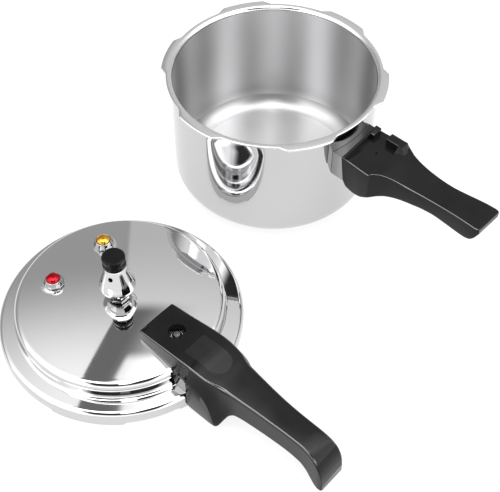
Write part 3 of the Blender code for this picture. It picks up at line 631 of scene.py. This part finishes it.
def make_pot_handle():
    places = stations(
        109.9,
        (113.0, 0.8),
        (135.0, 2.5),
        (142.8, 1.5),
        (146.0, 0.25),
        (160.0, 1.0),
        (244.0, 3.0),
        (257.0, 0.65),
    )
    sections = [pot_handle_section(interpolate(POT_HANDLE, x)) for x in places]
    handle = loft("pot_handle_visual", sections, BAKELITE, POT_MATRIX)
    shoulder = [(143.6, 14.9, EAR_TOP), (147.2, 14.9, EAR_TOP)]
    shoulder += [(147.2, 24.3, EAR_TOP), (143.6, 24.3, EAR_TOP)]
    shoulder += [(143.6, 4.5, 106.0), (160.0, 8.0, 106.0), (153.5, 21.5, 106.0)]
    shoulder += [(143.6, 24.3, 106.0)]
    short_ear = slanted((110.1, 116.5), ((12.5, 113.0), (23.4, 114.6)))
    rib = slanted((110.1, 112.4), ((-25.9, 107.9), (23.4, 114.6)))
    long_ear = (128.6, 15.0, HANDLE_TOP - 3.0), (145.2, 24.4, 115.0)
    bracket_slot = (100.0, -9.4, 91.6), (139.5, 9.4, 94.4)
    carve(
        handle,
        (block_cutter(POT_MATRIX, *long_ear, 0.5), "UNION"),
        (hull_cutter(POT_MATRIX, shoulder), "UNION"),
        (hull_cutter(POT_MATRIX, short_ear, 0.5), "UNION"),
        (hull_cutter(POT_MATRIX, rib, 0.4), "UNION"),
        block_cutter(POT_MATRIX, *bracket_slot),
        # the screw's hole, its head's and its insert's, and a small pit in the top
        rod_cutter(POT_MATRIX, POT_SCREW_AT, 2.9, 60.0, 95.0),
        rod_cutter(POT_MATRIX, POT_SCREW_AT, 5.4, 60.0, 86.0),
        rod_cutter(POT_MATRIX, POT_SCREW_AT, 4.0, 93.5, 103.6),
        rod_cutter(POT_MATRIX, (130.4, -0.4), 1.1, HANDLE_TOP - 1.2, HANDLE_TOP + 3.0),
    )
    polish_edges(handle)
    stand_for(handle, "pot", "pot_handle")


# ---------------------------------------------------------------- lid

DOME_TOP, DOME_SAG, PLATE_R, EDGE_R, LID_SHEET = 40.4, 5.1, 91.2, 5.8, 1.8
RISER_R, LEDGE_Z, LID_R, SHOULDER_R = 96.2, 16.2, 114.0, 5.0
LID_LUG_HALF, LID_LUG_ROOT, LID_LUG_R = 11.7, 13.8, 107.5
SEAT_TOP, SEAT_R, SEAT_SLOPE = 38.7, 10.8, 1.6
VALVE_RADIUS, VALVE_ANGLE, VALVE_HOLE_R = 62.5, 30.0, 5.4
LID_SCREW_AT, LID_SCREW_HOLE_R = (74.8, 0.0), 2.9
LID_SHARP = 28.0


def valve_place(side):
    turn = math.radians(180.0 - side * VALVE_ANGLE)
    return (VALVE_RADIUS * math.cos(turn), VALVE_RADIUS * math.sin(turn))


GOLD_AT, RED_AT = valve_place(1), valve_place(-1)


def dome(radius):
    return DOME_TOP - DOME_SAG * (radius / PLATE_R) ** 2


def lid_outside(offset=0.0):
    """The lid's outside in section, from its middle to its skirt, or a line offset from it."""
    line = [(0.0, dome(0.0) + offset)]
    line += [(r, dome(r) + offset) for r in spaced(3.0, 84.0, 1.8)]
    rim = dome(PLATE_R) - EDGE_R
    line += [(r, dome(r) + offset) for r in (86.0, 88.0, PLATE_R - 1.2)]
    line += arc((PLATE_R, rim), EDGE_R + offset, 84, 4, 12)
    line += rounded(
        [
            (PLATE_R + EDGE_R + offset, rim - 0.2),
            (PLATE_R + EDGE_R - 1.1 + offset, rim - 1.6, 0.7),
            (PLATE_R + EDGE_R - 0.3 + offset, rim - 2.8, 0.8),
            (RISER_R + offset, LEDGE_Z + offset, 3.2),
            (LID_R + offset, LEDGE_Z - 0.6 + offset, SHOULDER_R + offset),
            (LID_R + offset, 4.6),
        ],
        8,
    )[1:-1]
    return line


def lid_foot(share):
    """The skirt's edge, from outside to inside: share is 0 between the lugs and 1 on a lug."""
    skirt, inner = LID_R - LID_SHEET, mix(LID_R - LID_SHEET, LID_LUG_R, share)
    foot = mix(LID_R, LID_R - 2.6, share)
    return [
        (LID_R, 7.5),
        (LID_R, 4.9),
        (mix(LID_R, LID_R - 0.15, share), 3.6),
        (mix(LID_R, LID_R - 0.7, share), 2.0),
        (mix(LID_R, LID_R - 1.5, share), 0.9),
        (mix(LID_R - 0.15, foot, share), 0.15),
        (mix(LID_R - 0.4, foot - 1.0, share), 0.0),
        (inner + 0.35, 0.0),
        (inner, 0.35),
        (inner, mix(1.0, 1.7, share)),
        (mix(skirt, inner + 0.3, share), 2.0),
        (skirt, 2.15),
        (skirt, 5.0),
    ]


def lid_section(angle):
    skirt = LID_R - LID_SHEET
    under = LEDGE_Z - 0.6 - LID_SHEET
    line = lid_outside() + lid_foot(lug_share(angle, LID_LUG_HALF, LID_LUG_ROOT))
    line += arc((skirt - 3.0, under - 3.0), 3.0, 0, 90, 6)
    step = [(107.0, under), (RISER_R - LID_SHEET, under, 1.6)]
    step += [(PLATE_R + 3.6, 26.4, 0.8), (PLATE_R + 3.9, 29.0)]
    line += rounded(step, 4)
    line += arc((PLATE_R, dome(PLATE_R) - EDGE_R), EDGE_R - LID_SHEET, 4, 84, 6)
    line += [(r, dome(r) - LID_SHEET) for r in spaced(84.0, 3.0, 5.4)]
    return line + [(0.0, dome(0.0) - LID_SHEET)]


POLISHED_FOOT_STEPS = 9  # steps of lid_foot that are still outside
OUTSIDE_STEPS = len(lid_outside()) + POLISHED_FOOT_STEPS


def lid_zone(step):
    return 1 if step > OUTSIDE_STEPS else 0


def press_seats(lid):
    """Presses up the flat seats under the valves."""
    for vertex in lid.data.vertices:
        x, y, z = vertex.co.x / MM, vertex.co.y / MM, vertex.co.z / MM
        r = math.hypot(x, y)
        if not 45.0 < r < 80.0 or z < 33.0:
            continue
        sheet = 0.0 if z > dome(r) - LID_SHEET / 2 else LID_SHEET
        for at in (GOLD_AT, RED_AT):
            away = math.hypot(x - at[0], y - at[1])
            share = min(1.0, max(0.0, (SEAT_R - away) / SEAT_SLOPE))
            z = mix(z, SEAT_TOP - sheet, share * share * (3 - 2 * share))
        vertex.co.z = z * MM


def make_lid():
    looks = [LID_METAL, LID_INSIDE]
    lid = revolve(
        "lid_visual", lid_section, RING_ANGLES, looks, LID_MATRIX, zone=lid_zone, sharp=LID_SHARP
    )
    press_seats(lid)
    places = [(at, VALVE_HOLE_R) for at in (GOLD_AT, RED_AT, (0.0, 0.0))]
    places.append((LID_SCREW_AT, LID_SCREW_HOLE_R))
    holes = [rod_cutter(LID_MATRIX, at, radius, 20.0, 60.0) for at, radius in places]
    carve(lid, *holes, sharp=LID_SHARP)
    stand_for(lid, "lid", "lid_shell")
    ring = [(108.6, 13.4, 0.6), (110.6, 12.5, 0.5), (111.8, 9.6, 0.8), (111.8, 4.9, 0.8)]
    ring += [(104.6, 4.9, 0.7), (103.4, 6.4, 0.5), (100.8, 6.4, 0.5), (98.2, 5.6, 0.5)]
    ring += [(98.2, 12.8, 0.5), (99.1, 13.4, 0.4)]
    seal = turned("sealing_ring_visual", ring, SILICONE, LID_MATRIX, 240, 3, True)
    stand_for(seal, "seal", "sealing_ring")


# s, z top, half width at the top, edge radius, foot half width, z of the foot's upper edge,
# z underside, flare
LID_HANDLE = (
    (49.0, 48.9, 20.0, 0.9, 20.6, 38.0, 33.0, 1.0),
    (51.0, 49.4, 20.3, 1.3, 21.0, 38.0, 33.0, 1.0),
    (70.0, 51.4, 20.9, 1.6, 22.0, 38.0, 33.0, 1.0),
    (85.0, 53.3, 21.4, 1.8, 23.0, 38.0, 33.0, 1.1),
    (100.0, 55.1, 22.0, 2.0, 24.8, 38.0, 33.5, 1.2),
    (110.9, 55.8, 22.1, 2.2, 27.2, 37.6, 34.0, 1.3),
    (111.5, 55.8, 22.1, 2.2, 28.0, 37.6, 2.4, 1.3),
    (118.0, 55.5, 22.0, 2.4, 28.2, 38.4, 2.4, 1.3),
    (126.0, 54.5, 21.5, 2.6, 28.2, 38.0, 2.4, 1.4),
    (132.0, 53.8, 20.8, 2.8, 28.2, 35.0, 2.4, 1.5),
    (137.0, 53.2, 19.8, 3.0, 28.2, 28.0, 2.4, 1.7),
    (140.5, 52.7, 19.0, 3.2, 28.1, 18.0, 2.4, 1.9),
    (144.0, 52.2, 18.3, 3.4, 27.6, 7.0, 2.6, 2.2),
    (146.6, 51.9, 17.8, 3.5, 25.8, 7.0, 4.4, 2.3),
    (149.5, 51.6, 17.3, 3.6, 21.6, 14.0, 11.5, 2.3),
    (153.0, 51.3, 16.7, 3.6, 18.0, 22.0, 18.0, 2.0),
    (158.0, 50.9, 16.0, 3.6, 16.0, 25.0, 21.2, 1.5),
    (166.0, 50.2, 15.2, 3.6, 14.9, 26.0, 22.0, 1.0),
    (178.0, 49.3, 14.0, 3.6, 13.7, 26.0, 22.1, 1.0),
    (195.0, 48.2, 12.8, 3.6, 12.5, 26.0, 22.2, 1.0),
    (212.0, 47.9, 12.1, 3.6, 11.8, 26.0, 22.3, 1.0),
    (226.0, 47.5, 12.0, 3.6, 11.7, 25.0, 20.4, 1.0),
    (234.0, 46.3, 12.3, 3.6, 12.1, 21.0, 16.0, 1.0),
    (240.0, 43.7, 12.9, 3.6, 12.8, 15.0, 9.8, 1.0),
    (245.0, 39.1, 13.5, 3.4, 13.5, 10.0, 5.6, 1.0),
    (249.0, 32.1, 13.8, 3.0, 14.0, 8.6, 4.4, 1.0),
    (251.6, 23.3, 13.7, 2.6, 13.8, 8.2, 4.5, 1.0),
    (253.0, 13.9, 13.0, 1.6, 13.0, 8.4, 5.4, 1.0),
)
FLANK_STEPS = 6  # pieces in the curve from the top's edge down to the foot
CROWN = 0.5
LID_BRACKET_TOP = 34.0
GRIP_SCREW_AT = (122.0, 0.0)
PANEL_START, PANEL_END, PANEL_HALF, PANEL_DEPTH = 96.0, 137.0, 12.5, 0.3
PANEL_SAG = 0.28  # the part of the crown that the panel's floor falls by at its sides


def lid_handle_section(row):
    s, top, half, edge, foot, foot_z, low, flare = row
    foot_z = max(foot_z, low + 2.6)
    flank = [(half, top)]
    for k in range(1, FLANK_STEPS + 1):
        share = k / FLANK_STEPS
        flank.append((half + (foot - half) * share**flare, top - (top - foot_z) * share))
    line = [(0.0, top + CROWN)]
    line += rounded([(half * 0.55, top + CROWN * 0.72), (half, top, edge), flank[1]], 7)
    line += flank[2:]
    line += rounded([(foot, foot_z * 0.65 + low * 0.35), (foot, low, 2.0), (0.0, low)], 4)[:-1]
    outline = line + [(0.0, low)] + [(-y, z) for y, z in line[:0:-1]]
    return [(s, y, z) for y, z in outline]


def panel_half(s):
    past = max(0.0, s - (PANEL_END - PANEL_HALF))
    return math.sqrt(max(PANEL_HALF**2 - past**2, 0.0))


def panel_floor(s):
    return interpolate(LID_HANDLE, s)[1] + CROWN - PANEL_DEPTH


def on_panel(face):
    s, y, z = face.center / MM
    inside = PANEL_START < s < PANEL_END and abs(y) < panel_half(s)
    return inside and abs(z - panel_floor(s)) < 0.2 and face.normal.z > 0.8


def sink_panel(handle):
    """The shallow tongue-shaped panel in the top of the handle, less glossy than the rest."""
    sections = []
    for s in spaced(PANEL_START, PANEL_END - 0.1, 0.8):
        half, low = panel_half(s), panel_floor(s)
        edge, over = low - PANEL_SAG * CROWN * half / PANEL_HALF, low + 6.0
        sections.append([(s, -half, edge), (s, 0.0, low), (s, half, edge)])
        sections[-1] += [(s, half, over), (s, -half, over)]
    carve(handle, loft("panel_cutter", sections, BAKELITE, LID_MATRIX))
    handle.data.materials.append(BAKELITE_PANEL)
    for face in handle.data.polygons:
        if on_panel(face):
            face.material_index = len(handle.data.materials) - 1


def make_lid_handle():
    places = stations(
        49.0,
        (51.0, 0.7),
        (110.9, 4.0),
        (111.5, 0.6),
        (160.0, 1.0),
        (226.0, 3.0),
        (248.0, 1.0),
        (253.0, 0.4),
    )
    sections = [lid_handle_section(interpolate(LID_HANDLE, s)) for s in places]
    handle = loft("lid_handle_visual", sections, BAKELITE, LID_MATRIX)
    hollow = (112.7, -24.4, -5.0), (136.0, 24.4, 30.0)
    bracket_room = (60.0, -24.5, 8.0), (113.0, 24.5, LID_BRACKET_TOP + 0.3)
    lid_and_gap = lid_outside(0.5) + [(LID_R + 0.5, -5.0), (0.0, -5.0)]
    carve(
        handle,
        block_cutter(LID_MATRIX, *hollow, 0.5),
        block_cutter(LID_MATRIX, *bracket_room),
        turned_cutter(LID_MATRIX, lid_and_gap),
        # the boss round the grip screw's insert, and the insert's hole
        (rod_cutter(LID_MATRIX, GRIP_SCREW_AT, 7.0, 29.9, 32.0), "UNION"),
        rod_cutter(LID_MATRIX, GRIP_SCREW_AT, 4.0, 25.0, 45.0),
        # the top screw's well, the flare at its mouth, and the screw's hole
        rod_cutter(LID_MATRIX, LID_SCREW_AT, 6.2, 43.5, 60.0),
        rod_cutter(LID_MATRIX, LID_SCREW_AT, 6.0, 48.4, 53.4, 8.6),
        rod_cutter(LID_MATRIX, LID_SCREW_AT, LID_SCREW_HOLE_R, 30.0, 44.0),
    )
    sink_panel(handle)
    polish_edges(handle)
    stand_for(handle, "lid", "lid_handle")


# ---------------------------------------------------------------- weight and valves

STEAM_HOLE_Z, STEAM_HOLE_TURN, STEAM_HOLE_R = 73.6, -66.5, 2.2
# (r, z) or (r, z, radius) of each corner, from the axis outwards and back
WEIGHT = [
    (0.0, 86.0),
    (4.9, 86.0, 0.4),
    (4.9, 80.9),
    (8.6, 80.9, 0.5),
    (9.2, 80.0),
    (10.4, 76.0),
    (12.4, 70.0, 6.0),
    (14.5, 64.0, 8.0),
    (16.0, 59.0, 6.0),
    (16.6, 56.0, 1.6),
    (16.4, 53.8, 0.5),
    (15.7, 52.6, 0.4),
    (14.6, 50.6),
    (11.2, 46.8, 0.8),
    (6.2, 46.8, 0.4),
    (6.2, 57.2),
    (5.3, 57.8),
    (5.3, 66.6),
    (0.0, 66.6),
]
KNOB = [
    (0.0, 94.5),
    (9.4, 94.5, 0.8),
    (10.6, 93.5, 0.7),
    (10.6, 90.4, 0.8),
    (9.3, 89.2, 0.5),
    (9.2, 87.2, 0.5),
    (10.6, 86.2, 0.7),
    (10.7, 83.2, 0.7),
    (9.7, 81.3, 0.5),
    (5.3, 81.3),
    (5.3, 86.4),
    (0.0, 86.4),
]
CAP = [
    (0.0, 49.7),
    (2.5, 49.4, 2.0),
    (4.6, 48.7, 2.0),
    (6.0, 47.7, 1.2),
    (6.4, 46.7, 0.5),
    (6.4, 45.8, 0.3),
    (5.6, 45.2, 0.2),
]
CUP = [
    (6.75, 46.4, 0.2),
    (7.2, 46.4, 0.3),
    (7.6, 45.8, 0.3),
    (9.4, 41.6, 0.5),
    (9.4, 40.6, 0.3),
    (8.6, 39.0, 0.2),
    (5.0, 39.0),
    (5.0, 26.5),
]
RED_BORE = [(2.6, 26.5), (2.6, 44.6)]
GOLD_BORE = [(2.2, 26.5), (2.2, 28.0), (3.8, 28.0), (3.8, 42.7), (2.0, 42.7), (2.0, 44.6)]
CUP_FLOOR = [(6.5, 44.6)]
RED_STEM = [(2.1, 45.0), (2.1, 20.8), (4.3, 20.6), (4.3, 18.8), (0.0, 18.8)]
GOLD_SOCKET = [(1.95, 45.0), (1.95, 47.0), (0.0, 47.0)]


def make_weight():
    body = turned("weight_visual", WEIGHT, CHROME, LID_MATRIX, 96)
    across = LID_MATRIX @ Matrix.Translation((0.0, 0.0, STEAM_HOLE_Z * MM))
    across = across @ Matrix.Rotation(math.radians(STEAM_HOLE_TURN), 4, "Z")
    across = across @ Matrix.Rotation(math.pi / 2, 4, "Y")
    carve(body, rod_cutter(across, (0.0, 0.0), STEAM_HOLE_R, 4.0, 14.0), sharp=40.0)
    stand_for(body, "weight", "weight_body")
    knob = turned("knob_visual", KNOB, KNOB_BLACK, LID_MATRIX, 72)
    stand_for(knob, "weight", "weight_knob")


def make_valves():
    for name, at, bore in (("red", RED_AT, RED_BORE), ("gold", GOLD_AT, GOLD_BORE)):
        line = CUP + bore + CUP_FLOOR
        cup = turned(f"{name}_cup_visual", line, CUP_PAINTED_SHADE_METAL, LID_MATRIX, 72, 3, True, at)
        stand_for(cup, "lid", f"{name}_valve_body")
    red = turned("red_cap_visual", CAP + RED_STEM, RED_CAP, LID_MATRIX, 48, 3, False, RED_AT)
    stand_for(red, "red_float", "red_valve_float")
    line = CAP + GOLD_SOCKET
    gold = turned("gold_cap_visual", line, GOLD_CAP, LID_MATRIX, 48, 3, False, GOLD_AT)
    stand_for(gold, "gold_poppet", "gold_valve_cap")


# ---------------------------------------------------------------- CAD nodes that stay

SLOT_LOOKS = {
    "polished_aluminium": LID_METAL,
    "chrome": CHROME,
    "steel": STEEL,
    "black_bakelite": BAKELITE,
    "brass": BRASS,
    "gold_cap": GOLD_CAP,
    "red_cap": RED_CAP,
    "grey_silicone": SILICONE,
    "black_rubber": RUBBER,
}
NODE_LOOKS = {
    "pot_bracket": POT_BRACKET_PAINTED_SHADE,
    "lid_bracket": LID_BRACKET_PAINTED_SHADE,
    "lid_handle_screw": SCREW_METAL,
}


def dress_cad():
    for entry in frame["record"]["subparts"]:
        node = frame["nodes"][entry["node"]]
        look = NODE_LOOKS.get(entry["node"]) or SLOT_LOOKS[entry["material_slot"]]
        if node.material_slots:
            for slot in node.material_slots:
                slot.material = look
        else:
            node.data.materials.append(look)


# ---------------------------------------------------------------- stage

CAMERA_AT, CAMERA_AIM = Vector((0.5141, -0.5769, 0.7884)), Vector((0.0601, -0.0984, 0.0))
CAMERA_LENS, CAMERA_SENSOR = 73.86, 36.0
FLOOR_GREYS, FLOOR_GLOW, FLOOR_HALF = (0.16, 0.17), 0.84, 14000.0
FLOOR_GAP = 0.0002  # metres under the object, so that the two surfaces don't fight
# the studio's own directions: away from the camera, and to its right
FORWARD, RIGHT, UP = (-0.6883, 0.7254, 0.0), (0.7254, 0.6883, 0.0), (0.0, 0.0, 1.0)
BOOM_LIGHT, BEHIND_LIGHT = 0.22, 0.06


def make_camera():
    camera_data = bpy.data.cameras.new("camera")
    camera_data.sensor_width = CAMERA_SENSOR
    camera_data.lens = CAMERA_LENS
    camera = bpy.data.objects.new("camera", camera_data)
    bpy.context.scene.collection.objects.link(camera)
    camera.location = CAMERA_AT
    camera.rotation_euler = (CAMERA_AIM - CAMERA_AT).to_track_quat("-Z", "Y").to_euler()
    bpy.context.scene.camera = camera


def make_floor():
    material, nodes, shader, coordinates = new_material("pale_floor")
    dark, pale = ((grey, grey, grey) for grey in FLOOR_GREYS)
    cloud = nodes.noise(coordinates, 3.0, 2.0)
    nodes.put(nodes.blend(cloud, dark, pale), shader.inputs["Base Color"])
    shader.inputs["Roughness"].default_value = 0.9
    shader.inputs["Specular IOR Level"].default_value = 0.1
    shader.inputs["Emission Color"].default_value = (1.0, 1.0, 1.0, 1.0)
    shader.inputs["Emission Strength"].default_value = FLOOR_GLOW
    bm = bmesh.new()
    bmesh.ops.create_grid(bm, x_segments=1, y_segments=1, size=FLOOR_HALF)
    floor = finish_mesh("floor", bm, [material], Matrix.Translation((0.0, 0.0, -FLOOR_GAP)))


def make_studio():
    """The world that the metal mirrors: walls, softboxes overhead, a boom, and a dark side."""
    world = bpy.data.worlds.new("studio")
    bpy.context.scene.world = world
    world.use_nodes = True
    nodes = Nodes(world.node_tree)
    direction = nodes.add("ShaderNodeTexCoord").outputs["Generated"]

    def along(axis):
        inputs = {0: direction, 1: axis}
        return nodes.add("ShaderNodeVectorMath", inputs, operation="DOT_PRODUCT").outputs["Value"]

    ahead, side, up = along(FORWARD), along(RIGHT), along(UP)
    # degrees from the far horizon, over the top, to the horizon behind the camera
    tilt = nodes.math("MULTIPLY", nodes.math("ARCTAN2", up, ahead), math.degrees(1.0))
    # a grey wall to the left and a paler one to the right, each lighter towards the ceiling
    left = nodes.ramp(tilt, 45.0, 72.0, 0.50, 1.55)
    rest = nodes.ramp(tilt, 38.0, 70.0, 0.74, 1.24)
    level = nodes.mix(nodes.ramp(side, -0.116, -0.104), left, rest)
    # softboxes overhead; the one to the right of the boom starts lower
    from_boom = nodes.math("ADD", side, nodes.math("MULTIPLY_ADD", tilt, 0.00708, -0.277))
    middle = nodes.math("ABSOLUTE", nodes.math("SUBTRACT", side, 0.02))
    within = nodes.ramp(middle, 0.4, 0.65, 1.0, 0.2)
    overhead = nodes.math("MULTIPLY", nodes.ramp(tilt, 68.0, 80.0, 0.0, 1.6), within)
    right_of_boom = nodes.ramp(from_boom, 0.085, 0.105)
    right_box = nodes.math("MULTIPLY", nodes.ramp(tilt, 64.5, 67.0, 0.0, 1.1), right_of_boom)
    strip_end = nodes.ramp(tilt, 100.0, 108.0, 1.6, 0.0)
    strip = nodes.math("MULTIPLY", nodes.ramp(tilt, 84.0, 90.0), strip_end)
    # a dark boom reaching up between them
    boom_right = nodes.ramp(from_boom, 0.06, 0.23, 1.0, 0.0)
    boom = nodes.math("MULTIPLY", nodes.ramp(from_boom, -0.003, 0.003), boom_right)
    boom = nodes.math("MULTIPLY", boom, nodes.ramp(tilt, 54.0, 57.0))
    boom = nodes.math("MULTIPLY", boom, nodes.ramp(tilt, 76.0, 82.0, 1.0, 0.0))
    light = nodes.mix(boom, nodes.math("ADD", level, overhead), BOOM_LIGHT)
    light = nodes.math("ADD", nodes.math("ADD", light, right_box), strip)
    # dark behind the camera, higher up at two stands than between them, paler near the floor
    stands = nodes.ramp(middle, 0.05, 0.10)
    reach = nodes.math("ADD", tilt, nodes.math("MULTIPLY_ADD", stands, 20.0, -20.0))
    behind_side = nodes.ramp(middle, 0.35, 0.55, 1.0, 0.0)
    behind = nodes.math("MULTIPLY", nodes.ramp(reach, 98.0, 112.0), behind_side)
    behind = nodes.math("MULTIPLY", behind, nodes.ramp(tilt, 146.0, 158.0, 1.0, 0.55))
    light = nodes.mix(behind, light, BEHIND_LIGHT)
    background = world.node_tree.nodes["Background"]
    nodes.put(light, background.inputs["Strength"])
    background.inputs["Color"].default_value = (1.0, 1.0, 1.0, 1.0)


bpy.context.scene.view_settings.view_transform = "Standard"
make_camera()
dress_cad()
make_pot()
make_pot_handle()
make_lid()
make_lid_handle()
make_weight()
make_valves()
make_floor()
make_studio()
